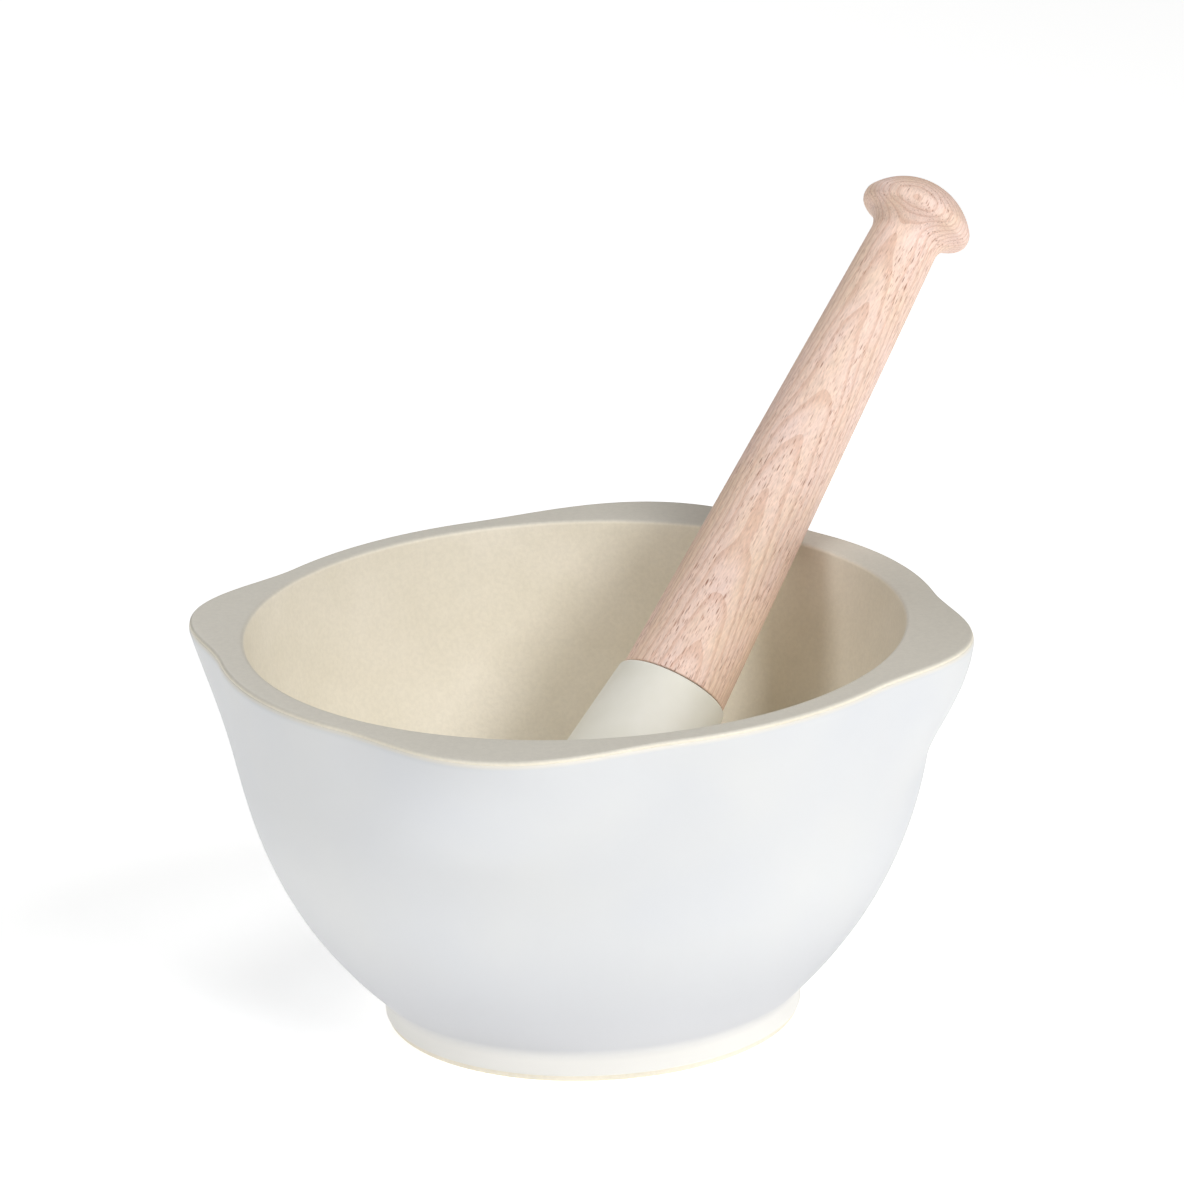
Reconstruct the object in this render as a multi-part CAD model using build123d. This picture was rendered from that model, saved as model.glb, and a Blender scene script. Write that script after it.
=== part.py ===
from build123d import *
import math
import os

# A stoneware mortar with four pouring lips, and its pestle: a ceramic head glued on a turned
# beech handle. Millimetres, +Z up. The origin is the centre of the foot's standing ring, on the
# bowl's axis, and the lips point along +X, +Y, -X and -Y. The pestle leans in the bowl.
# The hollow and the lips are a little uneven, as in a bowl that is cast and finished by hand.

# bowl
rim_height = 98.4
rim_inner_radius = 80.0
rim_land = 8.0                 # flat top of the wall, between two lips
wall_angle = 8.4               # lean of the upper wall's outside, degrees from vertical
belly_height = 68.5            # the straight upper wall starts here
belly_radius = 103.0           # arc of the wall below that height
rim_edge_radius = 1.2          # rounding of the rim's inner edge
oval = 0.87                    # the outside is this much out of round
oval_direction = 40.0          # towards the longer side, degrees from +X
oval_height = 30.0             # below this it grows round towards the foot

# lips, in the order +X, +Y, -X, -Y: hand-drawn, so no two are quite alike
lip_reach = (8.5, 8.4, 9.0, 9.6)
lip_half_angle = (24.4, 31.2, 23.4, 28.3)
lip_depth = (34.0, 54.0, 54.0, 34.0)    # how far down the wall each one fades out
lip_fade_power = (1.27, 0.74, 0.74, 1.27)   # below 1, most of the reach is shed near the rim

# hollow
hollow_offset = (-1.1, -0.44)  # its axis, off the foot's
hollow_wall_angle = 10.15      # lean of the upper wall's inside, degrees from vertical
floor_height = 18.0            # inside bottom, above the table
floor_radius = 105.0           # gentle curve of the floor
side_turn_radius = 55.0        # curve from the floor up to the wall

# foot
foot_radius = 50.8
foot_height = 10.0             # runs up inside the bowl, whose wall meets it lower down
bowl_base = 4.0                # the bowl's own outside starts here, inside the foot
foot_ring_width = 9.0          # standing ring
foot_recess_depth = 3.5        # hollow inside the ring
foot_chamfer = 0.8

# white coat on the outside
coat_thickness = 0.5
coat_stop_rim = 1.0            # bare clay left below the rim
coat_stop_foot = 1.6           # bare clay left above the table

# pestle head
head_end_radius = 20.0         # ball end that grinds
head_length = 68.6             # ball end to shoulder
shoulder_radius = 14.2
shoulder_edge_radius = 1.0

# handle
handle_foot_radius = 13.5      # against the shoulder
neck_radius = 8.7              # under the knob
neck_length = 134.0            # from the shoulder to the knob's underside
knob_radius = 14.3
knob_underside_rise = 2.4
knob_rim_height = 2.6
knob_dome_radius = 16.6
neck_fillet = 5.5
knob_lower_fillet = 2.0
knob_upper_fillet = 3.0
tenon_radius = 8.0
tenon_length = 30.0
tenon_chamfer = 1.0

# glue
glue_gap = 0.5                 # around the tenon
glue_end_gap = 1.2             # under the tenon
glue_line = 0.3                # between the handle's end and the shoulder
glue_line_inset = 0.6          # the line stays inside the handle's edge

# the way the pestle rests
lean_direction = 62.2          # degrees from +X, where the handle lies on the rim
head_offset = 0.4              # ball centre, off the bowl's axis towards that side
rest_gap = 0.3                 # pestle to bowl, at the floor and at the rim

ring_points = 72               # points round each section of the bowl's outside
ring_levels = 14               # sections from base to rim

rim_outer_radius = rim_inner_radius + rim_land
wall_slope = math.tan(math.radians(wall_angle))
hollow_slope = math.tan(math.radians(hollow_wall_angle))


def bowl_radius(height):
    """Outside radius of the plain bowl, without lips: an arc below, a straight wall above."""
    if height >= belly_height:
        return rim_outer_radius - (rim_height - height) * wall_slope
    lean = math.radians(wall_angle)
    arc_r = rim_outer_radius - (rim_height - belly_height) * wall_slope - belly_radius * math.cos(lean)
    arc_z = belly_height + belly_radius * math.sin(lean)
    return arc_r + math.sqrt(belly_radius**2 - (height - arc_z) ** 2)


def lip_fade(lip, height):
    """1 at the rim, falling smoothly to 0 at the lip's lower end."""
    t = min(max((rim_height - height) / lip_depth[lip], 0.0), 1.0) ** lip_fade_power[lip]
    return 1.0 - t * t * (3.0 - 2.0 * t)


def outside_radius(angle, height):
    """Outside radius of the bowl in the direction of angle, in degrees, lips included."""
    radius = bowl_radius(height)
    radius += oval * min(height / oval_height, 1.0) * math.cos(math.radians(2 * (angle - oval_direction)))
    for lip, reach in enumerate(lip_reach):
        off = (angle - 90.0 * lip + 180.0) % 360.0 - 180.0
        if abs(off) < lip_half_angle[lip]:
            bump = math.cos(math.pi / 2 * off / lip_half_angle[lip]) ** 2
            radius += reach * bump * lip_fade(lip, height)
    return radius


def outside_section(height, inset):
    points = []
    for i in range(ring_points):
        angle = 360.0 * i / ring_points
        radius = outside_radius(angle, height) - inset
        turn = math.radians(angle)
        points.append(Vector(radius * math.cos(turn), radius * math.sin(turn), height))
    return Wire([Edge.make_spline(points, periodic=True)])


def outside_solid(inset):
    """The bowl and its foot as one block, drawn in by inset."""
    levels = []
    for i in range(ring_levels + 1):
        levels.append(bowl_base + (rim_height - bowl_base) * i / ring_levels)
    bowl = Solid.make_loft([outside_section(level, inset) for level in levels])
    foot_top = foot_height - inset
    foot = Pos(0, 0, foot_top / 2) * Cylinder(foot_radius - inset, foot_top)
    foot = chamfer(foot.edges().sort_by(Axis.Z)[0], foot_chamfer)
    return foot + bowl


def hollow():
    """The round hollow, run out above the rim."""
    slope_r = rim_inner_radius - rim_height * hollow_slope
    ball_z = floor_height + floor_radius
    # where the floor's arc meets the line of the wall
    a = 1 + hollow_slope**2
    b = slope_r * hollow_slope - ball_z
    c = slope_r**2 + ball_z**2 - floor_radius**2
    corner_z = (-b - math.sqrt(b * b - a * c)) / a
    corner_r = slope_r + corner_z * hollow_slope
    top = rim_height + 5
    half = math.atan2(corner_r, ball_z - corner_z) / 2
    mid = (floor_radius * math.sin(half), ball_z - floor_radius * math.cos(half))
    outline = [
        ThreePointArc((0, floor_height), mid, (corner_r, corner_z)),
        Line((corner_r, corner_z), (slope_r + top * hollow_slope, top)),
        Line((slope_r + top * hollow_slope, top), (0, top)),
        Line((0, top), (0, floor_height)),
    ]
    face = make_face(outline)
    corner = face.vertices().sort_by_distance((corner_r, corner_z, 0))[0]
    face = fillet(corner, side_turn_radius)
    return Pos(*hollow_offset, 0) * revolve(Plane.XZ * face, Axis.Z)


def mortar_body():
    body = outside_solid(coat_thickness) - hollow()
    rim = body.edges().filter_by(GeomType.CIRCLE).group_by(Axis.Z)[-1]
    body = fillet(rim, rim_edge_radius)
    recess_radius = foot_radius - coat_thickness - foot_ring_width
    recess = Pos(0, 0, foot_recess_depth / 2) * Cylinder(recess_radius, foot_recess_depth)
    return body - recess


def outer_glaze():
    skin = outside_solid(0) - outside_solid(coat_thickness)
    low = coat_stop_foot
    high = rim_height - coat_stop_rim
    band = Pos(0, 0, (low + high) / 2) * Cylinder(2 * rim_outer_radius, high - low)
    return skin & band


def place_pestle(solid):
    """Moves a piece from the pestle's own axes, ball centre at 0 and handle up, to its rest."""
    depth = floor_radius - head_end_radius - rest_gap
    ball_z = floor_height + floor_radius - math.sqrt(depth**2 - head_offset**2)
    # lean so that the tapered handle just clears the rounded rim edge
    across = rim_inner_radius + rim_edge_radius - head_offset
    up = rim_height - rim_edge_radius - ball_z
    reach = math.hypot(across, up)
    taper = math.atan((handle_foot_radius - neck_radius) / neck_length)
    shoulder_z = head_length - head_end_radius
    root = handle_foot_radius + shoulder_z * math.tan(taper)
    stand_off = rim_edge_radius + rest_gap + root * math.cos(taper)
    lean = math.atan2(across, up) - (math.asin(stand_off / reach) - taper)
    turn = math.radians(lean_direction)
    side = Vector(math.cos(turn), math.sin(turn), 0)
    rest = Plane(
        origin=side * head_offset + Vector(*hollow_offset, ball_z),
        x_dir=side * math.cos(lean) - Vector(0, 0, math.sin(lean)),
        z_dir=side * math.sin(lean) + Vector(0, 0, math.cos(lean)),
    )
    return rest.location * solid


def pestle_head():
    """A ball end with a cone tangent to it, up to the shoulder, and a blind socket."""
    shoulder_z = head_length - head_end_radius
    reach = math.hypot(shoulder_radius, shoulder_z)
    tangent = math.atan2(shoulder_z, shoulder_radius) - math.acos(head_end_radius / reach)
    touch = (head_end_radius * math.cos(tangent), head_end_radius * math.sin(tangent))
    low = math.radians(-45)
    outline = [
        ThreePointArc(
            (0, -head_end_radius),
            (head_end_radius * math.cos(low), head_end_radius * math.sin(low)),
            touch,
        ),
        Line(touch, (shoulder_radius, shoulder_z)),
        Line((shoulder_radius, shoulder_z), (0, shoulder_z)),
        Line((0, shoulder_z), (0, -head_end_radius)),
    ]
    face = make_face(outline)
    shoulder = face.vertices().sort_by_distance((shoulder_radius, shoulder_z, 0))[0]
    face = fillet(shoulder, shoulder_edge_radius)
    head = revolve(Plane.XZ * face, Axis.Z)
    depth = tenon_length + glue_end_gap - glue_line
    socket = Pos(0, 0, shoulder_z - depth / 2) * Cylinder(tenon_radius + glue_gap, depth)
    return place_pestle(head - socket)


def pestle_handle():
    """Turned from one piece: tenon, taper, neck and mushroom knob."""
    seat = head_length - head_end_radius + glue_line
    under = seat + neck_length - glue_line
    rim_low = under + knob_underside_rise
    rim_high = rim_low + knob_rim_height
    dome_drop = knob_dome_radius - math.sqrt(knob_dome_radius**2 - knob_radius**2)
    apex = rim_high + dome_drop
    half = math.asin(knob_radius / knob_dome_radius) / 2
    mid = (
        knob_dome_radius * math.sin(half),
        apex - knob_dome_radius + knob_dome_radius * math.cos(half),
    )
    outline = [
        Polyline(
            (0, seat - tenon_length),
            (tenon_radius - tenon_chamfer, seat - tenon_length),
            (tenon_radius, seat - tenon_length + tenon_chamfer),
            (tenon_radius, seat),
            (handle_foot_radius, seat),
            (neck_radius, under),
            (knob_radius, rim_low),
            (knob_radius, rim_high),
        ),
        ThreePointArc((knob_radius, rim_high), mid, (0, apex)),
        Line((0, apex), (0, seat - tenon_length)),
    ]
    face = make_face(outline)
    rounds = (
        ((neck_radius, under), neck_fillet),
        ((knob_radius, rim_low), knob_lower_fillet),
        ((knob_radius, rim_high), knob_upper_fillet),
    )
    for (radius, height), size in rounds:
        corner = face.vertices().sort_by_distance((radius, height, 0))[0]
        face = fillet(corner, size)
    return place_pestle(revolve(Plane.XZ * face, Axis.Z))


def handle_adhesive():
    """The glue: a cup round the tenon, and a thin line between the handle and the shoulder."""
    shoulder_z = head_length - head_end_radius
    seat = shoulder_z + glue_line
    tip = seat - tenon_length
    outer = tenon_radius + glue_gap
    outline = Polyline(
        (0, tip - glue_end_gap),
        (outer, tip - glue_end_gap),
        (outer, shoulder_z),
        (handle_foot_radius - glue_line_inset, shoulder_z),
        (handle_foot_radius - glue_line_inset, seat),
        (tenon_radius, seat),
        (tenon_radius, tip + tenon_chamfer),
        (tenon_radius - tenon_chamfer, tip),
        (0, tip),
        close=True,
    )
    return place_pestle(revolve(Plane.XZ * make_face(outline), Axis.Z))


pieces = {
    "mortar_body": mortar_body(),
    "outer_glaze": outer_glaze(),
    "pestle_head": pestle_head(),
    "handle_adhesive": handle_adhesive(),
    "pestle_handle": pestle_handle(),
}
os.makedirs("parts", exist_ok=True)
for name, piece in pieces.items():
    export_step(piece, f"parts/{name}.step")
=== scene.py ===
import bpy
import math
from mathutils import Matrix, Vector


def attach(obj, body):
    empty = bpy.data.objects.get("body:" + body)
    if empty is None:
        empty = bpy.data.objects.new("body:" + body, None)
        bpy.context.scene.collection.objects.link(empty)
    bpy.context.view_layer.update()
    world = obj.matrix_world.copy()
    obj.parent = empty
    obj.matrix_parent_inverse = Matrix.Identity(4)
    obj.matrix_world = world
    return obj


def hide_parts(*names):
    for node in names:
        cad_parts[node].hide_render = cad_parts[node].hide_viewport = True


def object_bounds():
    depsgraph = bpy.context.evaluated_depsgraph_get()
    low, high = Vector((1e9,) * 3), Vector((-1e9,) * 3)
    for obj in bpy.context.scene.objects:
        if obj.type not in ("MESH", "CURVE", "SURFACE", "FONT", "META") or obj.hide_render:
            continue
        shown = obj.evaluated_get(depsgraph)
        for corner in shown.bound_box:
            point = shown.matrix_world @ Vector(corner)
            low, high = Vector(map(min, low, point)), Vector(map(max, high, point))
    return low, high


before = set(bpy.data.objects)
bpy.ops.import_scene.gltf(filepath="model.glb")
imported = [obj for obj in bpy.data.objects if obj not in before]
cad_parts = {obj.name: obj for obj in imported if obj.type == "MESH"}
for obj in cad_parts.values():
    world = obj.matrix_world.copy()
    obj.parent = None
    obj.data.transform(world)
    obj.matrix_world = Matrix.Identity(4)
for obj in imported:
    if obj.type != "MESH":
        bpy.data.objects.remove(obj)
cadLow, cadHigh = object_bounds()
mm = 0.001      # every size below is in millimetres unless it says otherwise


def linearColour(hexCode, alpha=1.0):
    # sRGB hex to the linear colour that the shaders want
    parts = [int(hexCode[i:i + 2], 16) / 255.0 for i in (1, 3, 5)]
    return [c / 12.92 if c <= 0.04045 else ((c + 0.055) / 1.055) ** 2.4 for c in parts] + [alpha]


def addNode(tree, kind, settings=None, feeds=None):
    # feeds: socket name or number -> a value, or the output or node it is linked from
    node = tree.nodes.new(kind)
    for name, value in (settings or {}).items():
        setattr(node, name, value)
    for socket, value in (feeds or {}).items():
        if isinstance(value, bpy.types.Node):
            value = value.outputs[0]
        if isinstance(value, bpy.types.NodeSocket):
            tree.links.new(value, node.inputs[socket])
        else:
            node.inputs[socket].default_value = value
    return node


def newMaterial(name):
    material = bpy.data.materials.new(name)
    material.use_nodes = True
    material.node_tree.nodes.clear()
    return material, material.node_tree


def setRamp(node, stops):
    ramp = node.color_ramp
    while len(ramp.elements) < len(stops):
        ramp.elements.new(0.5)
    for element, (place, colour) in zip(ramp.elements, stops):
        element.position = place
        element.color = colour


def spreadTones(hexCodes):
    # even stops over the part of a noise that it mostly fills
    gap = 0.4 / (len(hexCodes) - 1)
    return [(0.3 + gap * i, linearColour(code)) for i, code in enumerate(hexCodes)]


def meshObject(name, points, faces=(), edges=()):
    mesh = bpy.data.meshes.new(name)
    mesh.from_pydata([Vector(p) * mm for p in points], edges, faces)
    mesh.update()
    thing = bpy.data.objects.new(name, mesh)
    bpy.context.scene.collection.objects.link(thing)
    return thing


def makePlain(thing):
    # the evaluated modifiers become the object's own mesh
    bpy.context.view_layer.update()
    seen = thing.evaluated_get(bpy.context.evaluated_depsgraph_get())
    mesh = bpy.data.meshes.new_from_object(seen)
    thing.modifiers.clear()
    thing.data = mesh
    return thing


def arcPoints(centre, radius, start, end, count):
    # outlines are lists of (radius, height)
    points = []
    for i in range(count + 1):
        turn = start + (end - start) * i / count
        points.append((centre[0] + radius * math.cos(turn), centre[1] + radius * math.sin(turn)))
    return points


def roundCorner(before, corner, after, radius, count):
    a = (Vector(before) - Vector(corner)).normalized()
    b = (Vector(after) - Vector(corner)).normalized()
    half = a.angle(b) / 2
    centre = Vector(corner) + (a + b).normalized() * (radius / math.sin(half))
    first = Vector(corner) + a * (radius / math.tan(half)) - centre
    swing = first.angle_signed(Vector(corner) + b * (radius / math.tan(half)) - centre)
    start = math.atan2(first.y, first.x)
    return arcPoints(centre, radius, start, start - swing, count)


def roundedLine(corners):
    # corners: (radius, height, rounding, points in the rounding)
    points = []
    for i, (r, z, rounding, count) in enumerate(corners):
        if rounding == 0:
            points.append((r, z))
        else:
            points += roundCorner(corners[i - 1][:2], (r, z), corners[i + 1][:2], rounding, count)
    return points


def divideLine(points, step):
    # no gap longer than step
    out = [points[0]]
    for a, b in zip(points, points[1:]):
        parts = max(1, math.ceil(math.dist(a, b) / step))
        for i in range(1, parts + 1):
            out.append((a[0] + (b[0] - a[0]) * i / parts, a[1] + (b[1] - a[1]) * i / parts))
    return out


# the mortar: one outline turned round the axis, drawn out into four hand-pulled lips
bowlSizes = {
    "rimHeight": 98.4,
    "rimInnerRadius": 80.0,
    "rimLand": 8.0,
    "wallAngle": 8.4,           # outside, degrees off vertical
    "bellyHeight": 68.5,
    "bellyRadius": 103.0,
    "innerEdge": 1.2,
    "outerEdge": 0.9,
    "oval": 0.87,               # out of round, on the outside
    "ovalDirection": 40.0,      # degrees from +X
    "ovalHeight": 30.0,         # round again below this, towards the foot
    "hollowOffset": (-1.1, -0.44),
    "hollowAngle": 10.15,       # inside of the wall, degrees off vertical
    "floorHeight": 18.0,
    "floorRadius": 105.0,
    "sideTurn": 55.0,
    "footRadius": 50.8,
    "footCrease": 3.0,          # small hollow where the wall meets the foot
    "footRing": 9.0,
    "footRecess": 3.5,
    "footEdge": 0.8,
    "recessEdge": 0.8,          # roundings on the inside of the standing ring
    "ringEdge": 0.6,
    "coat": 0.5,
    "coatStopRim": 1.0,
    "coatThin": (1.5, 0.4),     # the coat's top edge tapers over this height by this much
    "coatStopFoot": 1.6,
    "coatBack": 0.1,            # how far its back lies inside the clay
    "coatEdge": (0.3, 0.1),     # roundings at the foot and at the rim
    "coatRoom": (0.35, 0.45),   # height that those two take up
    "columns": 360,
    "rowStep": 0.9,
    "lipBand": 9.0,             # rows are closer in this much of the height under the rim
    "mergeDistance": 0.004,
    "wobble": 0.16,             # slip-cast walls are never quite true
    "wobbleSize": 34.0,
    "wobbleRing": 80.0,         # radius at which the waver is read, going round
    "wobbleSeed": 7.0,
}
lipNames = ("Right", "Back", "Left", "Front")
lipSizes = {
    "reach": (8.5, 8.4, 9.0, 9.6),
    "halfAngle": (24.4, 31.2, 23.4, 28.3),
    "depth": (34.0, 54.0, 54.0, 34.0),
    "fadePower": (1.27, 0.74, 0.74, 1.27),      # below 1, most of the reach is shed near the rim
}


def outsideWall(inset):
    # from the foot's crease up to just under the rim's outer edge
    s = bowlSizes
    lean = math.radians(s["wallAngle"])
    outer = s["rimInnerRadius"] + s["rimLand"]
    beltRadius = outer - (s["rimHeight"] - s["bellyHeight"]) * math.tan(lean)
    arcR = beltRadius - s["bellyRadius"] * math.cos(lean)
    arcZ = s["bellyHeight"] + s["bellyRadius"] * math.sin(lean)
    crease = s["footCrease"]
    creaseR = s["footRadius"] + crease
    creaseZ = arcZ - math.sqrt((s["bellyRadius"] + crease) ** 2 - (creaseR - arcR) ** 2)
    toArc = math.atan2(arcZ - creaseZ, arcR - creaseR)
    points = arcPoints((creaseR, creaseZ), crease, math.pi, toArc, 6)
    low = toArc - math.pi
    points += arcPoints((arcR, arcZ), s["bellyRadius"], low, -lean, 62)[1:]
    top = s["rimHeight"]
    z = s["bellyHeight"]
    while z < top - s["outerEdge"] * 1.3:
        # closer rows where the lips flare
        z += s["rowStep"] if z < top - s["lipBand"] else s["rowStep"] / 2
        points.append((outer - (top - z) * math.tan(lean), z))
    return [(r - inset, z) for r, z in points]


def hollowWall():
    # from under the rim's inner edge down to the middle of the floor
    s = bowlSizes
    lean = math.radians(s["hollowAngle"])
    along = Vector((math.sin(lean), math.cos(lean)))
    inward = Vector((-math.cos(lean), math.sin(lean)))
    middle = Vector((0.0, s["floorHeight"] + s["floorRadius"]))
    start = Vector((s["rimInnerRadius"], s["rimHeight"])) + inward * s["sideTurn"] - middle
    gap = s["floorRadius"] - s["sideTurn"]
    b = start.dot(along)
    slide = -b - math.sqrt(b * b - start.length_squared + gap * gap)
    centre = middle + start + along * slide
    wallTurn = math.atan2(-inward.y, -inward.x)
    toFloor = centre - middle
    floorTurn = math.atan2(toFloor.y, toFloor.x)
    turn = arcPoints(centre, s["sideTurn"], wallTurn, floorTurn, 44)
    floor = arcPoints(middle, s["floorRadius"], floorTurn, -math.pi / 2, 24)[1:]
    floor[-1] = (0.0, s["floorHeight"])
    return turn + floor


def bodyOutline():
    s = bowlSizes
    coat = s["coat"]
    foot = s["footRadius"] - coat
    ring = foot - s["footRing"]
    wall = outsideWall(coat)
    rim = s["rimHeight"]
    outer = s["rimInnerRadius"] + s["rimLand"] - coat
    inner = s["rimInnerRadius"]
    under = roundedLine([
        (0.0, s["footRecess"], 0, 0),
        (ring, s["footRecess"], s["recessEdge"], 5),
        (ring, 0.0, s["ringEdge"], 5),
        (foot, 0.0, s["footEdge"], 6),
        (foot, 2.0, 0, 0),
    ])
    under = divideLine(under, 4.0)
    wall = [p for p in wall if p[1] < rim - s["outerEdge"] * 1.15]
    edge = roundCorner(wall[-1], (outer, rim), (inner, rim), s["outerEdge"], 7)
    hollow = hollowWall()
    lipEdge = roundCorner((outer, rim), (inner, rim), hollow[0], s["innerEdge"], 8)
    land = divideLine([edge[-1], lipEdge[0]], 0.7)[1:-1]
    drop = divideLine([lipEdge[-1], hollow[0]], 2.0)[1:-1]
    points = under + wall + edge + land + lipEdge + drop + hollow
    # 1 where the lips pull with the outside, 0 on the round hollow
    shares = [1.0] * (len(under) + len(wall) + len(edge))
    shares += [(p[0] - lipEdge[0][0]) / (edge[-1][0] - lipEdge[0][0]) for p in land]
    shares += [0.0] * (len(points) - len(shares))
    return points, shares


def coatOutline():
    # a closed loop: the white skin's face, and its back a little inside the clay
    s = bowlSizes
    low = s["coatStopFoot"]
    high = s["rimHeight"] - s["coatStopRim"]
    back = s["coat"] + s["coatBack"]
    footEdge, rimEdge = s["coatEdge"]
    footRoom, rimRoom = s["coatRoom"]
    lean = math.radians(s["wallAngle"])
    face = [(s["footRadius"], low + footRoom)]
    face += [p for p in outsideWall(0.0) if p[1] < high - rimRoom]
    outer = s["rimInnerRadius"] + s["rimLand"] - s["coatStopRim"] * math.tan(lean)
    inside = [(r - back, z) for r, z in reversed(face)]
    # thinner towards the rim
    taper, thinner = s["coatThin"]
    face = [(r - thinner * max(0.0, (z - high + taper) / taper) ** 2, z) for r, z in face]
    clay = outer - back
    outer -= thinner
    foot = s["footRadius"]
    lowEdge = roundCorner((foot - back, low), (foot, low), (foot, low + 3), footEdge, 4)
    highEdge = roundCorner(face[-1], (outer, high), (clay, high), rimEdge, 5)
    points = lowEdge + face + highEdge + [(clay, high)] + inside + [(foot - back, low)]
    points.append(points[0])
    return points, [1.0] * len(points)


sumNode = "ShaderNodeMath"


def lippedTree():
    tree = bpy.data.node_groups.new("lippedBowl", "GeometryNodeTree")
    socketIds = {}
    wanted = {
        "Outline": "Geometry", "Finish": "Material", "Columns": "Int", "Hollow Offset": "Vector",
        "Rim Height": "Float", "Oval": "Float", "Oval Direction": "Float", "Oval Height": "Float",
        "Wobble": "Float", "Wobble Size": "Float", "Seed": "Float",
    }
    for lip in lipNames:
        for size in ("Reach", "Half Angle", "Depth", "Fade Power"):
            wanted[lip + " " + size] = "Float"
    for name, kind in wanted.items():
        socket = tree.interface.new_socket(name=name, in_out="INPUT", socket_type="NodeSocket" + kind)
        socketIds[name] = socket.identifier
    tree.interface.new_socket(name="Geometry", in_out="OUTPUT", socket_type="NodeSocketGeometry")

    # a grid with one column for each turn and one row for each point of the outline
    given = addNode(tree, "NodeGroupInput").outputs
    size = addNode(tree, "GeometryNodeAttributeDomainSize", {"component": "MESH"}, {0: given["Outline"]})
    rows = size.outputs["Point Count"]
    wide = addNode(tree, sumNode, {"operation": "ADD"}, {0: given["Columns"], 1: 1.0})
    grid = addNode(tree, "GeometryNodeMeshGrid", None, {"Vertices X": wide, "Vertices Y": rows})
    index = addNode(tree, "GeometryNodeInputIndex")
    row = addNode(tree, sumNode, {"operation": "MODULO"}, {0: index, 1: rows})
    past = addNode(tree, sumNode, {"operation": "ADD"}, {0: index, 1: 0.5})
    count = addNode(tree, sumNode, {"operation": "DIVIDE"}, {0: past, 1: rows})
    column = addNode(tree, sumNode, {"operation": "FLOOR"}, {0: count})
    part = addNode(tree, sumNode, {"operation": "DIVIDE"}, {0: column, 1: given["Columns"]})
    angle = addNode(tree, sumNode, {"operation": "MULTIPLY"}, {0: part, 1: 2 * math.pi})
    cosine = addNode(tree, sumNode, {"operation": "COSINE"}, {0: angle})
    sine = addNode(tree, sumNode, {"operation": "SINE"}, {0: angle})

    # radius, height and pull of this row of the outline
    here = addNode(tree, "GeometryNodeInputPosition")
    place = addNode(tree, "GeometryNodeSampleIndex", {"data_type": "FLOAT_VECTOR"},
                    {"Geometry": given["Outline"], "Value": here, "Index": row})
    parts = addNode(tree, "ShaderNodeSeparateXYZ", None, {0: place})
    radius, height = parts.outputs["X"], parts.outputs["Z"]
    named = addNode(tree, "GeometryNodeInputNamedAttribute", {"data_type": "FLOAT"},
                    {"Name": "lipShare"})
    pull = addNode(tree, "GeometryNodeSampleIndex", {"data_type": "FLOAT"},
                   {"Geometry": given["Outline"], "Value": named, "Index": row})

    # the outside is a little oval above the foot
    ahead = addNode(tree, sumNode, {"operation": "SUBTRACT"}, {0: angle, 1: given["Oval Direction"]})
    twice = addNode(tree, sumNode, {"operation": "MULTIPLY"}, {0: ahead, 1: 2.0})
    wave = addNode(tree, sumNode, {"operation": "COSINE"}, {0: twice})
    most = addNode(tree, sumNode, {"operation": "MULTIPLY"}, {0: wave, 1: given["Oval"]})
    grown = addNode(tree, "ShaderNodeMapRange", None,
                    {"Value": height, "From Max": given["Oval Height"]})
    total = addNode(tree, sumNode, {"operation": "MULTIPLY"}, {0: most, 1: grown})

    # each lip: a cosine bump round the rim that fades down the wall
    drop = addNode(tree, sumNode, {"operation": "SUBTRACT"}, {0: given["Rim Height"], 1: height})
    for quarter, lip in enumerate(lipNames):
        away = addNode(tree, sumNode, {"operation": "SUBTRACT"}, {0: angle, 1: quarter * math.pi / 2})
        near = addNode(tree, sumNode, {"operation": "WRAP"}, {0: away, 1: math.pi, 2: -math.pi})
        off = addNode(tree, sumNode, {"operation": "ABSOLUTE"}, {0: near})
        slant = addNode(tree, "ShaderNodeMapRange", None,
                        {"Value": off, "From Max": given[lip + " Half Angle"], "To Max": math.pi / 2})
        rounded = addNode(tree, sumNode, {"operation": "COSINE"}, {0: slant})
        bump = addNode(tree, sumNode, {"operation": "POWER"}, {0: rounded, 1: 2.0})
        down = addNode(tree, "ShaderNodeMapRange", None,
                       {"Value": drop, "From Max": given[lip + " Depth"]})
        eased = addNode(tree, sumNode, {"operation": "POWER"}, {0: down, 1: given[lip + " Fade Power"]})
        fade = addNode(tree, "ShaderNodeMapRange", {"interpolation_type": "SMOOTHSTEP"},
                       {"Value": eased, "To Min": 1.0, "To Max": 0.0})
        pulled = addNode(tree, sumNode, {"operation": "MULTIPLY"}, {0: bump, 1: fade})
        total = addNode(tree, sumNode, {"operation": "MULTIPLY_ADD"},
                        {0: pulled, 1: given[lip + " Reach"], 2: total})

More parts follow.
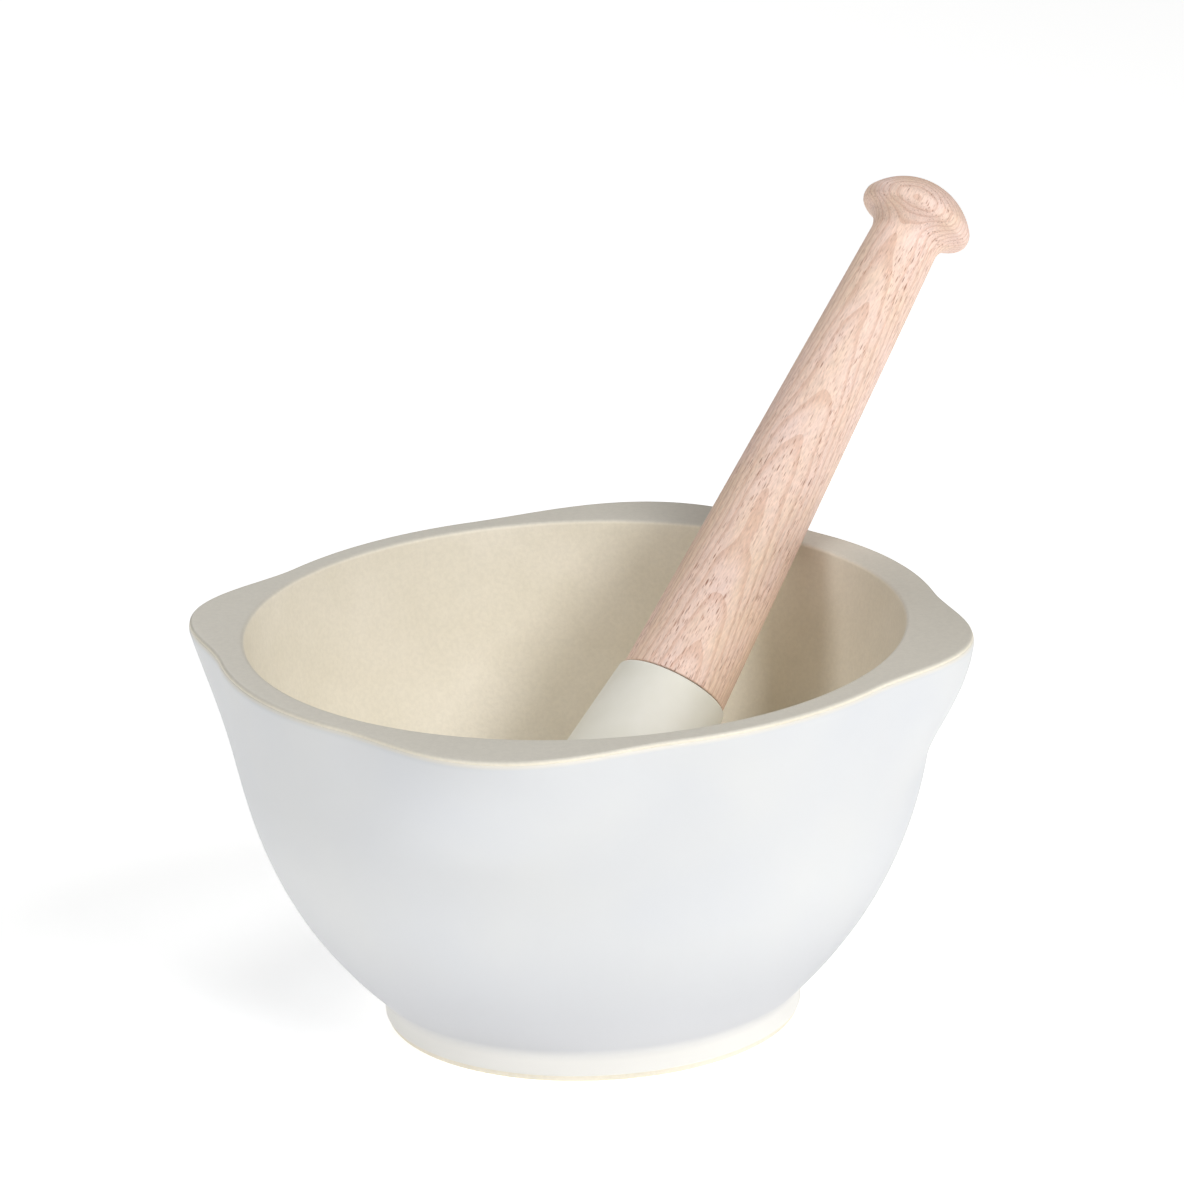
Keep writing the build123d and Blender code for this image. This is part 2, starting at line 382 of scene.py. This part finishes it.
    # the walls draw in a little here and there, never out
    ring = addNode(tree, "ShaderNodeCombineXYZ", None, {0: cosine, 1: sine})
    spread = addNode(tree, "ShaderNodeVectorMath", {"operation": "SCALE"},
                     {0: ring, "Scale": bowlSizes["wobbleRing"] * mm})
    lift = addNode(tree, "ShaderNodeCombineXYZ", None, {2: height})
    around = addNode(tree, "ShaderNodeVectorMath", {"operation": "ADD"}, {0: spread, 1: lift})
    finer = addNode(tree, sumNode, {"operation": "DIVIDE"}, {0: 1.0, 1: given["Wobble Size"]})
    noise = addNode(tree, "ShaderNodeTexNoise", {"noise_dimensions": "4D"},
                    {"Vector": around, "W": given["Seed"], "Scale": finer, "Detail": 1.0})
    drawIn = addNode(tree, sumNode, {"operation": "MULTIPLY"}, {0: noise.outputs[0], 1: given["Wobble"]})
    change = addNode(tree, sumNode, {"operation": "SUBTRACT"}, {0: total, 1: drawIn})
    reach = addNode(tree, sumNode, {"operation": "MULTIPLY_ADD"}, {0: change, 1: pull, 2: radius})

    # the hollow stands a little off the foot's axis
    out = addNode(tree, "ShaderNodeVectorMath", {"operation": "SCALE"}, {0: ring, "Scale": reach})
    raised = addNode(tree, "ShaderNodeVectorMath", {"operation": "ADD"}, {0: out, 1: lift})
    hollowShare = addNode(tree, sumNode, {"operation": "SUBTRACT"}, {0: 1.0, 1: pull})
    shift = addNode(tree, "ShaderNodeVectorMath", {"operation": "SCALE"},
                    {0: given["Hollow Offset"], "Scale": hollowShare})
    end = addNode(tree, "ShaderNodeVectorMath", {"operation": "ADD"}, {0: raised, 1: shift})
    moved = addNode(tree, "GeometryNodeSetPosition", None, {"Geometry": grid, "Position": end})
    closed = addNode(tree, "GeometryNodeMergeByDistance", None,
                     {"Geometry": moved, "Distance": bowlSizes["mergeDistance"] * mm})
    smooth = addNode(tree, "GeometryNodeSetShadeSmooth", None, {"Geometry": closed})
    real = addNode(tree, "GeometryNodeRealizeInstances", None, {"Geometry": smooth})
    finish = addNode(tree, "GeometryNodeSetMaterial", None,
                     {"Geometry": real, "Material": given["Finish"]})
    addNode(tree, "NodeGroupOutput", None, {0: finish})
    return tree, socketIds


def makeLipped(name, outline, finish, tree, socketIds):
    points, shares = outline
    edges = [(i, i + 1) for i in range(len(points) - 1)]
    thing = meshObject(name, [(r, 0.0, z) for r, z in points], edges=edges)
    share = thing.data.attributes.new("lipShare", "FLOAT", "POINT")
    share.data.foreach_set("value", shares)
    modifier = thing.modifiers.new("lippedBowl", "NODES")
    modifier.node_group = tree
    values = {
        "Columns": bowlSizes["columns"],
        "Rim Height": bowlSizes["rimHeight"] * mm,
        "Oval": bowlSizes["oval"] * mm,
        "Oval Direction": math.radians(bowlSizes["ovalDirection"]),
        "Oval Height": bowlSizes["ovalHeight"] * mm,
        "Hollow Offset": (bowlSizes["hollowOffset"][0] * mm, bowlSizes["hollowOffset"][1] * mm, 0.0),
        "Wobble": bowlSizes["wobble"] * mm,
        "Wobble Size": bowlSizes["wobbleSize"] * mm,
        "Seed": bowlSizes["wobbleSeed"],
        "Finish": finish,
    }
    for i, lip in enumerate(lipNames):
        values[lip + " Reach"] = lipSizes["reach"][i] * mm
        values[lip + " Half Angle"] = math.radians(lipSizes["halfAngle"][i])
        values[lip + " Depth"] = lipSizes["depth"][i] * mm
        values[lip + " Fade Power"] = lipSizes["fadePower"][i]
    for socket, value in values.items():
        modifier[socketIds[socket]] = value
    return makePlain(thing)


# the pestle, in its own axes: ball centre at 0, handle up
headSizes = {
    "endRadius": 20.0,
    "shoulderHeight": 48.6,
    "shoulderRadius": 14.2,
    "shoulderEdge": 1.0,
    "socketRadius": 8.5,
    "socketDepth": 30.9,
    "socketEdge": 0.3,
    "columns": 180,
}
handleSizes = {
    "seat": 48.9,
    "footRadius": 13.5,
    "footEdge": 0.35,
    "under": 182.6,
    "neckRadius": 8.7,
    "knobRadius": 14.3,
    "knobLow": 185.0,
    "knobHigh": 187.6,
    "domeRadius": 16.6,
    "neckRound": 5.5,
    "knobLowRound": 2.0,
    "knobHighRound": 3.0,
    "tenonRadius": 8.0,
    "tenonLength": 30.0,
    "tenonEdge": 1.0,
    "columns": 180,
}
restSizes = {
    "leanDirection": 62.2,
    "headOffset": 0.4,
    "gap": 0.3,
}


def pestlePlace():
    # matrix from the pestle's own axes, in metres, to where it rests in the bowl
    s = bowlSizes
    h = handleSizes
    depth = s["floorRadius"] - headSizes["endRadius"] - restSizes["gap"]
    offset = restSizes["headOffset"]
    ballZ = s["floorHeight"] + s["floorRadius"] - math.sqrt(depth ** 2 - offset ** 2)
    across = s["rimInnerRadius"] + s["innerEdge"] - offset
    up = s["rimHeight"] - s["innerEdge"] - ballZ
    shoulder = headSizes["shoulderHeight"]
    taper = math.atan((h["footRadius"] - h["neckRadius"]) / (h["under"] - shoulder))
    root = h["footRadius"] + shoulder * math.tan(taper)
    standOff = s["innerEdge"] + restSizes["gap"] + root * math.cos(taper)
    lean = math.atan2(across, up) - (math.asin(standOff / math.hypot(across, up)) - taper)
    turn = math.radians(restSizes["leanDirection"])
    side = Vector((math.cos(turn), math.sin(turn), 0.0))
    top = Vector((0.0, 0.0, 1.0))
    zAxis = side * math.sin(lean) + top * math.cos(lean)
    xAxis = side * math.cos(lean) - top * math.sin(lean)
    yAxis = zAxis.cross(xAxis)
    turned = Matrix((xAxis, yAxis, zAxis)).transposed()
    centre = side * offset + top * ballZ + Vector((*s["hollowOffset"], 0.0))
    return Matrix.Translation(centre * mm) @ turned.to_4x4()


def latheMesh(name, outline, columns, finish):
    # outline starts and ends on the axis
    points = [(0.0, 0.0, outline[0][1])]
    for r, z in outline[1:-1]:
        for i in range(columns):
            turn = 2 * math.pi * i / columns
            points.append((r * math.cos(turn), r * math.sin(turn), z))
    points.append((0.0, 0.0, outline[-1][1]))
    rings = len(outline) - 2
    last = len(points) - 1
    faces = []
    for i in range(columns):
        j = (i + 1) % columns
        faces.append((0, 1 + j, 1 + i))
        for ring in range(rings - 1):
            a = 1 + ring * columns
            faces.append((a + i, a + j, a + columns + j, a + columns + i))
        b = 1 + (rings - 1) * columns
        faces.append((b + i, b + j, last))
    thing = meshObject(name, points, faces)
    thing.data.polygons.foreach_set("use_smooth", [True] * len(thing.data.polygons))
    thing.data.materials.append(finish)
    thing.data.transform(pestlePlace())
    return thing


def headOutline():
    s = headSizes
    reach = math.hypot(s["shoulderRadius"], s["shoulderHeight"])
    touch = math.atan2(s["shoulderHeight"], s["shoulderRadius"]) - math.acos(s["endRadius"] / reach)
    ball = arcPoints((0.0, 0.0), s["endRadius"], -math.pi / 2, touch, 56)
    top = s["shoulderHeight"]
    bottom = top - s["socketDepth"]
    shoulder = roundCorner(ball[-1], (s["shoulderRadius"], top), (0.0, top), s["shoulderEdge"], 7)
    cone = divideLine([ball[-1], shoulder[0]], 2.0)[1:-1]
    mouth = roundCorner((s["shoulderRadius"], top), (s["socketRadius"], top),
                        (s["socketRadius"], bottom), s["socketEdge"], 3)
    ball[0] = (0.0, -s["endRadius"])
    return ball + cone + shoulder + mouth + [(s["socketRadius"], bottom), (0.0, bottom)]


def handleOutline():
    s = handleSizes
    r = s["tenonRadius"]
    tip = s["seat"] - s["tenonLength"]
    domeZ = s["knobHigh"] - math.sqrt(s["domeRadius"] ** 2 - s["knobRadius"] ** 2)
    apex = domeZ + s["domeRadius"]
    roundR = s["knobRadius"] - s["knobHighRound"]
    gap = s["domeRadius"] - s["knobHighRound"]
    roundZ = domeZ + math.sqrt(gap ** 2 - roundR ** 2)
    turn = math.atan2(roundZ - domeZ, roundR)
    lower = roundedLine([
        (0.0, tip, 0, 0),
        (r, tip, s["tenonEdge"], 3),
        (r, s["seat"], 0, 0),
        (s["footRadius"], s["seat"], s["footEdge"], 4),
        (s["neckRadius"], s["under"], s["neckRound"], 12),
        (s["knobRadius"], s["knobLow"], s["knobLowRound"], 8),
        (s["knobRadius"], s["knobHigh"], 0, 0),
    ])[:-1]
    lower = divideLine(lower, 2.0)
    rounding = arcPoints((roundR, roundZ), s["knobHighRound"], 0.0, turn, 8)
    dome = arcPoints((0.0, domeZ), s["domeRadius"], turn, math.pi / 2, 22)[1:]
    dome[-1] = (0.0, apex)
    return lower + rounding + dome


ceramicIor = 1.5
clayLook = {
    "tones": ("#E9E2D0", "#F1EADA"),
    "cloudSize": 26.0,
    # painted shade: a greyer tone for the rim's flat top, over these heights
    "rimShadeTone": "#D1CCC0",
    "rimShadeHeights": (97.7, 98.35),
    "grainSize": 1.1,
    "grainShade": (0.965, 1.02),
    "grainDepth": 0.12,
    "grainStrength": 0.35,
    "roughness": 0.52,
}


def makeBareClay():
    # unglazed cream stoneware, fired and left bare: dead matt, warm, with a fine sandy grain.
    # The rim's flat top is painted greyer than the hollow, as painted shade on the upward-facing land.
    look = clayLook
    material, tree = newMaterial("bareClay")
    place = addNode(tree, "ShaderNodeTexCoord").outputs["Object"]
    apart = addNode(tree, "ShaderNodeSeparateXYZ", None, {0: place})
    # painted shade: the rim's flat top is mixed towards a greyer tone
    rimLow, rimHigh = look["rimShadeHeights"]
    rim = addNode(tree, "ShaderNodeMapRange", {"interpolation_type": "SMOOTHSTEP"},
                  {"Value": apart.outputs["Z"], "From Min": rimLow * mm, "From Max": rimHigh * mm})
    cloud = addNode(tree, "ShaderNodeTexNoise", None,
                    {"Vector": place, "Scale": 1 / (look["cloudSize"] * mm), "Detail": 3.0,
                     "Roughness": 0.55})
    tone = addNode(tree, "ShaderNodeValToRGB", None, {0: cloud})
    setRamp(tone, spreadTones(look["tones"]))
    toneWithRimShade = addNode(tree, "ShaderNodeMix", {"data_type": "RGBA"},
                     {0: rim, 6: tone, 7: linearColour(look["rimShadeTone"])})
    grain = addNode(tree, "ShaderNodeTexNoise", None,
                    {"Vector": place, "Scale": 1 / (look["grainSize"] * mm), "Detail": 3.0,
                     "Roughness": 0.6})
    darkest, lightest = look["grainShade"]
    fleck = addNode(tree, "ShaderNodeMapRange", None,
                    {"Value": grain, "From Min": 0.35, "From Max": 0.65,
                     "To Min": darkest, "To Max": lightest})
    speckled = addNode(tree, "ShaderNodeMix", {"data_type": "RGBA", "blend_type": "MULTIPLY"},
                       {0: 1.0, 6: toneWithRimShade.outputs[2], 7: fleck})
    bump = addNode(tree, "ShaderNodeBump", None,
                   {"Strength": look["grainStrength"], "Distance": look["grainDepth"] * mm,
                    "Height": grain})
    shader = addNode(tree, "ShaderNodeBsdfPrincipled", None,
                     {"Base Color": speckled.outputs[2], "Roughness": look["roughness"],
                      "IOR": ceramicIor, "Normal": bump})
    addNode(tree, "ShaderNodeOutputMaterial", None, {0: shader})
    return material


coatLook = {
    "tones": ("#D4D6D9", "#D9DADA"),
    "cloudSize": 38.0,
    # colour, and the heights over which it comes in
    # painted shade: the lower wall greyer, coming in from 52 mm down to 12 mm
    "lowerWallShade": ("#C6C7CA", 52.0, 12.0),
    "footBand": ("#ECEAE5", 9.5, 5.0),
    "rimBand": ("#E6E2D8", 96.2, 97.4),
    "peelSize": 3.2,
    "peelDepth": 0.06,
    "peelStrength": 0.25,
    "roughness": 0.48,
}


def makeWhiteCoat():
    # satin white glaze sprayed on stoneware: an even cool white, with the faint orange peel of a
    # sprayed coat and a soft sheen that never turns to a sharp reflection
    look = coatLook
    material, tree = newMaterial("satinWhiteGlaze")
    place = addNode(tree, "ShaderNodeTexCoord").outputs["Object"]
    cloud = addNode(tree, "ShaderNodeTexNoise", None,
                    {"Vector": place, "Scale": 1 / (look["cloudSize"] * mm), "Detail": 2.0})
    tone = addNode(tree, "ShaderNodeValToRGB", None, {0: cloud})
    setRamp(tone, spreadTones(look["tones"]))
    # painted shade greys the lower wall, darker towards the foot; at both edges the coat is thin, and
    # the clay warms it
    apart = addNode(tree, "ShaderNodeSeparateXYZ", None, {0: place})
    colour = tone.outputs[0]
    for band in ("lowerWallShade", "footBand", "rimBand"):
        hexCode, begins, ends = look[band]
        share = addNode(tree, "ShaderNodeMapRange", {"interpolation_type": "SMOOTHSTEP"},
                        {"Value": apart.outputs["Z"], "From Min": begins * mm, "From Max": ends * mm})
        colour = addNode(tree, "ShaderNodeMix", {"data_type": "RGBA"},
                         {0: share, 6: colour, 7: linearColour(hexCode)}).outputs[2]
    peel = addNode(tree, "ShaderNodeTexNoise", None,
                   {"Vector": place, "Scale": 1 / (look["peelSize"] * mm), "Detail": 2.0})
    bump = addNode(tree, "ShaderNodeBump", None,
                   {"Strength": look["peelStrength"], "Distance": look["peelDepth"] * mm,
                    "Height": peel})
    shader = addNode(tree, "ShaderNodeBsdfPrincipled", None,
                     {"Base Color": colour, "Roughness": look["roughness"], "IOR": ceramicIor,
                      "Normal": bump})
    addNode(tree, "ShaderNodeOutputMaterial", None, {0: shader})
    return material


headLook = {
    "tones": ("#E2E0D5", "#EAE8E0"),
    "cloudSize": 14.0,
    "grainSize": 0.9,
    "grainDepth": 0.08,
    "grainStrength": 0.25,
    "roughness": 0.62,
}


def makeHeadClay():
    # unglazed porcelain stoneware, rubbed smooth: paler and greyer than the bowl
    look = headLook
    material, tree = newMaterial("rubbedPorcelain")
    place = addNode(tree, "ShaderNodeTexCoord").outputs["Object"]
    cloud = addNode(tree, "ShaderNodeTexNoise", None,
                    {"Vector": place, "Scale": 1 / (look["cloudSize"] * mm), "Detail": 3.0})
    tone = addNode(tree, "ShaderNodeValToRGB", None, {0: cloud})
    setRamp(tone, spreadTones(look["tones"]))
    grain = addNode(tree, "ShaderNodeTexNoise", None,
                    {"Vector": place, "Scale": 1 / (look["grainSize"] * mm), "Detail": 2.0})
    bump = addNode(tree, "ShaderNodeBump", None,
                   {"Strength": look["grainStrength"], "Distance": look["grainDepth"] * mm,
                    "Height": grain})
    shader = addNode(tree, "ShaderNodeBsdfPrincipled", None,
                     {"Base Color": tone, "Roughness": look["roughness"], "IOR": ceramicIor,
                      "Normal": bump})
    addNode(tree, "ShaderNodeOutputMaterial", None, {0: shader})
    return material


glueLook = {
    "tones": ("#5B4A3C", "#7A6757"),
    "dustSize": 2.0,
    "roughness": 0.5,
    "ior": 1.5,
}


def makeGlue():
    # set two-part glue: a brown-grey line, slightly glossy, with dust in it
    look = glueLook
    material, tree = newMaterial("setGlue")
    place = addNode(tree, "ShaderNodeTexCoord").outputs["Object"]
    noise = addNode(tree, "ShaderNodeTexNoise", None,
                    {"Vector": place, "Scale": 1 / (look["dustSize"] * mm), "Detail": 2.0})
    tone = addNode(tree, "ShaderNodeValToRGB", None, {0: noise})
    setRamp(tone, spreadTones(look["tones"]))
    shader = addNode(tree, "ShaderNodeBsdfPrincipled", None,
                     {"Base Color": tone, "Roughness": look["roughness"], "IOR": look["ior"]})
    addNode(tree, "ShaderNodeOutputMaterial", None, {0: shader})
    return material


beechLook = {
    "ringWidth": 1.5,           # growth rings
    "pith": (-31.0, -24.0),     # the tree's centre, off the handle's axis
    "pithDrift": 0.05,          # the grain runs out of the handle at this slope
    "waver": 2.6,               # how far the rings wander
    "ringStrength": 0.4,
    "ringColour": "#CFA086",
    "lateWood": (0.55, 0.92),   # share of the year over which the ring darkens
    "tones": ("#F1D5BF", "#F1D4C3", "#F3D7CB"),
    # sizes of the slow and crowding patterns, across twice and along; fibre is given as scales
    "slowGrain": (15.0, 15.0, 42.0),
    "crowdGrain": (7.0, 7.0, 18.0),
    "fibreGrain": (2.4, 2.4, 0.5),
    "mottle": (0.86, 1.08),
    "core": 0.35,               # the full-strength middle of a fleck
    "poreRelief": 0.5,
    "reliefStrength": 0.4,
    "reliefDepth": 0.05,
    "roughness": 0.56,
    "ior": 1.47,
    # ray flecks: spacing across and along the grain, width, strength, colour, place in the pattern
    "flecks": (
        (0.36, 2.0, 0.52, 0.5, "#BE8E74", 11.0),
        (0.46, 2.9, 0.5, 0.7, "#A87158", 3.0),
        (0.7, 4.6, 0.36, 0.8, "#935E48", 23.0),
    ),
}


def makeBeech():
    # steamed beech, turned, sanded and lightly oiled: pale pink-brown, faint growth rings, and the
    # short dark ray flecks that tell beech from any other wood
    look = beechLook
    material, tree = newMaterial("steamedBeech")
    move = pestlePlace()
    place = addNode(tree, "ShaderNodeTexCoord").outputs["Object"]
    # millimetres along the handle's own axes
    own = addNode(tree, "ShaderNodeMapping", {"vector_type": "TEXTURE"},
                  {"Vector": place, "Location": move.to_translation(), "Rotation": move.to_euler(),
                   "Scale": (mm, mm, mm)})
    apart = addNode(tree, "ShaderNodeSeparateXYZ", None, {0: own})

    # growth rings round a pith that lies outside the handle and drifts along it
    slow = addNode(tree, "ShaderNodeMapping", None,
                   {"Vector": own, "Scale": [1 / size for size in look["slowGrain"]]})
    wander = addNode(tree, "ShaderNodeTexNoise", None,
                     {"Vector": slow, "Scale": 1.0, "Detail": 2.0, "Roughness": 0.5})
    stray = addNode(tree, "ShaderNodeMapRange", None,
                    {"Value": wander.outputs[0], "To Min": -look["waver"], "To Max": look["waver"]})
    drift = addNode(tree, sumNode, {"operation": "MULTIPLY_ADD"},
                    {0: apart.outputs["Z"], 1: look["pithDrift"], 2: -look["pith"][0]})
    sideways = addNode(tree, sumNode, {"operation": "ADD"}, {0: apart.outputs["X"], 1: drift})
    forth = addNode(tree, sumNode, {"operation": "SUBTRACT"},
                    {0: apart.outputs["Y"], 1: look["pith"][1]})
    fromPith = addNode(tree, "ShaderNodeCombineXYZ", None, {0: sideways, 1: forth})
    away = addNode(tree, "ShaderNodeVectorMath", {"operation": "LENGTH"}, {0: fromPith}).outputs["Value"]
    bent = addNode(tree, sumNode, {"operation": "ADD"}, {0: away, 1: stray})
    years = addNode(tree, sumNode, {"operation": "DIVIDE"}, {0: bent, 1: look["ringWidth"]})
    year = addNode(tree, sumNode, {"operation": "FRACT"}, {0: years})
    early, late = look["lateWood"]
    ring = addNode(tree, "ShaderNodeMapRange", {"interpolation_type": "SMOOTHSTEP"},
                   {"Value": year, "From Min": early, "From Max": late, "To Max": look["ringStrength"]})

    patch = addNode(tree, "ShaderNodeTexNoise", None, {"Vector": slow, "Scale": 2.2, "Detail": 2.0})
    tone = addNode(tree, "ShaderNodeValToRGB", None, {0: patch.outputs[0]})
    setRamp(tone, spreadTones(look["tones"]))
    ringed = addNode(tree, "ShaderNodeMix", {"data_type": "RGBA"},
                     {0: ring, 6: tone, 7: linearColour(look["ringColour"])})

    # thin spindles along the grain, thick in some places and sparse in others
    crowd = addNode(tree, "ShaderNodeMapping", None,
                    {"Vector": own, "Scale": [1 / size for size in look["crowdGrain"]]})
    crowding = addNode(tree, "ShaderNodeTexNoise", None, {"Vector": crowd, "Scale": 1.0, "Detail": 2.0})
    thick = addNode(tree, "ShaderNodeMapRange", None,
                    {"Value": crowding.outputs[0], "From Min": 0.35, "From Max": 0.62, "To Min": 0.2})
    fibre = addNode(tree, "ShaderNodeMapping", None, {"Vector": own, "Scale": look["fibreGrain"]})
    pores = addNode(tree, "ShaderNodeTexNoise", None, {"Vector": fibre, "Scale": 1.0, "Detail": 3.0})
    darkest, lightest = look["mottle"]
    mottle = addNode(tree, "ShaderNodeMapRange", None,
                     {"Value": pores.outputs[0], "From Min": 0.3, "From Max": 0.7,
                      "To Min": darkest, "To Max": lightest})
    colour = addNode(tree, "ShaderNodeMix", {"data_type": "RGBA", "blend_type": "MULTIPLY"},
                     {0: 1.0, 6: ringed.outputs[2], 7: mottle}).outputs[2]
    dents = 0.0
    for across, along, width, strength, hexCode, seed in look["flecks"]:
        stretch = addNode(tree, "ShaderNodeMapping", None,
                          {"Vector": own, "Location": (seed, seed * 2, seed * 3),
                           "Scale": (1 / across, 1 / across, 1 / along)})
        cell = addNode(tree, "ShaderNodeTexVoronoi", None, {"Vector": stretch, "Scale": 1.0})
        sort = addNode(tree, "ShaderNodeSeparateColor", None, {0: cell.outputs["Color"]})
        size = addNode(tree, sumNode, {"operation": "MULTIPLY"}, {0: sort.outputs[0], 1: width})
        core = addNode(tree, sumNode, {"operation": "MULTIPLY"}, {0: size, 1: look["core"]})
        spindle = addNode(tree, "ShaderNodeMapRange", {"interpolation_type": "SMOOTHSTEP"},
                          {"Value": cell.outputs["Distance"], "From Min": size, "From Max": core,
                           "To Min": 0.0, "To Max": strength})
        fleck = addNode(tree, sumNode, {"operation": "MULTIPLY"}, {0: spindle, 1: thick})
        colour = addNode(tree, "ShaderNodeMix", {"data_type": "RGBA"},
                         {0: fleck, 6: colour, 7: linearColour(hexCode)}).outputs[2]
        dents = addNode(tree, sumNode, {"operation": "SUBTRACT"}, {0: dents, 1: fleck})

    relief = addNode(tree, sumNode, {"operation": "MULTIPLY_ADD"},
                     {0: pores.outputs[0], 1: look["poreRelief"], 2: dents})
    bump = addNode(tree, "ShaderNodeBump", None,
                   {"Strength": look["reliefStrength"], "Distance": look["reliefDepth"] * mm,
                    "Height": relief})
    shader = addNode(tree, "ShaderNodeBsdfPrincipled", None,
                     {"Base Color": colour, "Roughness": look["roughness"], "IOR": look["ior"],
                      "Normal": bump})
    addNode(tree, "ShaderNodeOutputMaterial", None, {0: shader})
    return material


print("finishes")
bareClay = makeBareClay()
whiteCoat = makeWhiteCoat()
headClay = makeHeadClay()
setGlue = makeGlue()
beech = makeBeech()

print("mortar")
bowlTree, bowlSockets = lippedTree()
mortarBody = makeLipped("stonewareBowl", bodyOutline(), bareClay, bowlTree, bowlSockets)
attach(mortarBody, "mortar")
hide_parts("mortar_body")
whiteSkin = makeLipped("whiteGlazeCoat", coatOutline(), whiteCoat, bowlTree, bowlSockets)
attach(whiteSkin, "mortar")
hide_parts("outer_glaze")

print("pestle")
pestleHead = latheMesh("porcelainHead", headOutline(), headSizes["columns"], headClay)
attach(pestleHead, "pestle")
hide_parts("pestle_head")
beechHandle = latheMesh("beechHandle", handleOutline(), handleSizes["columns"], beech)
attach(beechHandle, "pestle")
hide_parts("pestle_handle")
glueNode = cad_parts["handle_adhesive"]
for materialSlot in glueNode.material_slots:
    materialSlot.material = setGlue


floorLook = {
    "size": 9.0,                # metres
    "tones": ("#F4F4F3", "#F7F7F6"),
    "cloudScale": 3.0,
    "roughness": 0.8,
    "glow": 0.5,                # a lit table, so that the floor reads as near white
    "glowColour": "#FFFFFF",
}
lightSet = {
    "distance": 1.6,            # metres
    "colour": "#FFFFFF",
}
lights = {
    # azimuth is from the front towards +X, in degrees; size in metres, power in watts
    "keyLow": {"azimuth": 47.0, "height": 22.0, "size": 0.6, "power": 9.4},
    "keyHigh": {"azimuth": 75.0, "height": 46.0, "size": 0.7, "power": 8.9},
    "fill": {"azimuth": -45.0, "height": 30.0, "size": 0.6, "power": 6.3},
    "top": {"azimuth": 0.0, "height": 85.0, "size": 0.7, "power": 6.3},
    "back": {"azimuth": -150.0, "height": 28.0, "size": 0.6, "power": 3.8},
}
surround = {"colour": "#F3F6FB", "strength": 0.02}
cameraSet = {
    "aim": (3.23, 0.56, 106.96),
    "distance": 2.4,            # metres
    "azimuth": 13.0,
    "elevation": 18.96,
    "roll": -2.07,
    "lens": 302.7,
    "sensor": 36.0,
    "reach": 50.0,              # metres
}

print("floor and light")
half = floorLook["size"] / 2 / mm
corners = [(-half, -half, 0), (half, -half, 0), (half, half, 0), (-half, half, 0)]
floor = meshObject("floor", corners, [(0, 1, 2, 3)])
# matt white board that glows a little, so that it stays near white under the lights
floorPaper, paperTree = newMaterial("matteWhiteTable")
paperPlace = addNode(paperTree, "ShaderNodeTexCoord").outputs["Object"]
paperNoise = addNode(paperTree, "ShaderNodeTexNoise", None,
                     {"Vector": paperPlace, "Scale": floorLook["cloudScale"]})
paperTone = addNode(paperTree, "ShaderNodeValToRGB", None, {0: paperNoise})
setRamp(paperTone, spreadTones(floorLook["tones"]))
paperShader = addNode(paperTree, "ShaderNodeBsdfPrincipled", None,
                      {"Base Color": paperTone, "Roughness": floorLook["roughness"],
                       "Emission Color": linearColour(floorLook["glowColour"]),
                       "Emission Strength": floorLook["glow"]})
addNode(paperTree, "ShaderNodeOutputMaterial", None, {0: paperShader})
floor.data.materials.append(floorPaper)

middle = (cadLow + cadHigh) / 2
for name, light in lights.items():
    data = bpy.data.lights.new(name, "AREA")
    data.shape = "DISK"
    data.size = light["size"]
    data.energy = light["power"]
    data.color = linearColour(lightSet["colour"])[:3]
    lamp = bpy.data.objects.new(name, data)
    a = math.radians(light["azimuth"])
    e = math.radians(light["height"])
    away = Vector((math.sin(a) * math.cos(e), -math.cos(a) * math.cos(e), math.sin(e)))
    lamp.location = middle + away * lightSet["distance"]
    lamp.rotation_euler = away.to_track_quat("Z", "Y").to_euler()
    bpy.context.scene.collection.objects.link(lamp)

world = bpy.data.worlds.new("studio")
world.use_nodes = True
skyNode = world.node_tree.nodes["Background"]
skyNode.inputs["Color"].default_value = linearColour(surround["colour"])
skyNode.inputs["Strength"].default_value = surround["strength"]
bpy.context.scene.world = world
bpy.context.scene.view_settings.view_transform = "Standard"

print("camera")
a = math.radians(cameraSet["azimuth"])
e = math.radians(cameraSet["elevation"])
roll = math.radians(cameraSet["roll"])
forward = Vector((-math.sin(a) * math.cos(e), math.cos(a) * math.cos(e), -math.sin(e)))
right = forward.cross(Vector((0.0, 0.0, 1.0))).normalized()
up = right.cross(forward)
tiltedRight = right * math.cos(roll) + up * math.sin(roll)
tiltedUp = up * math.cos(roll) - right * math.sin(roll)
cameraData = bpy.data.cameras.new("camera")
cameraData.lens = cameraSet["lens"]
cameraData.sensor_width = cameraSet["sensor"]
cameraData.clip_end = cameraSet["reach"]
camera = bpy.data.objects.new("camera", cameraData)
turned = Matrix((tiltedRight, tiltedUp, -forward)).transposed().to_4x4()
stand = Vector(cameraSet["aim"]) * mm - forward * cameraSet["distance"]
camera.matrix_world = Matrix.Translation(stand) @ turned
bpy.context.scene.collection.objects.link(camera)
bpy.context.scene.camera = camera

print("done")
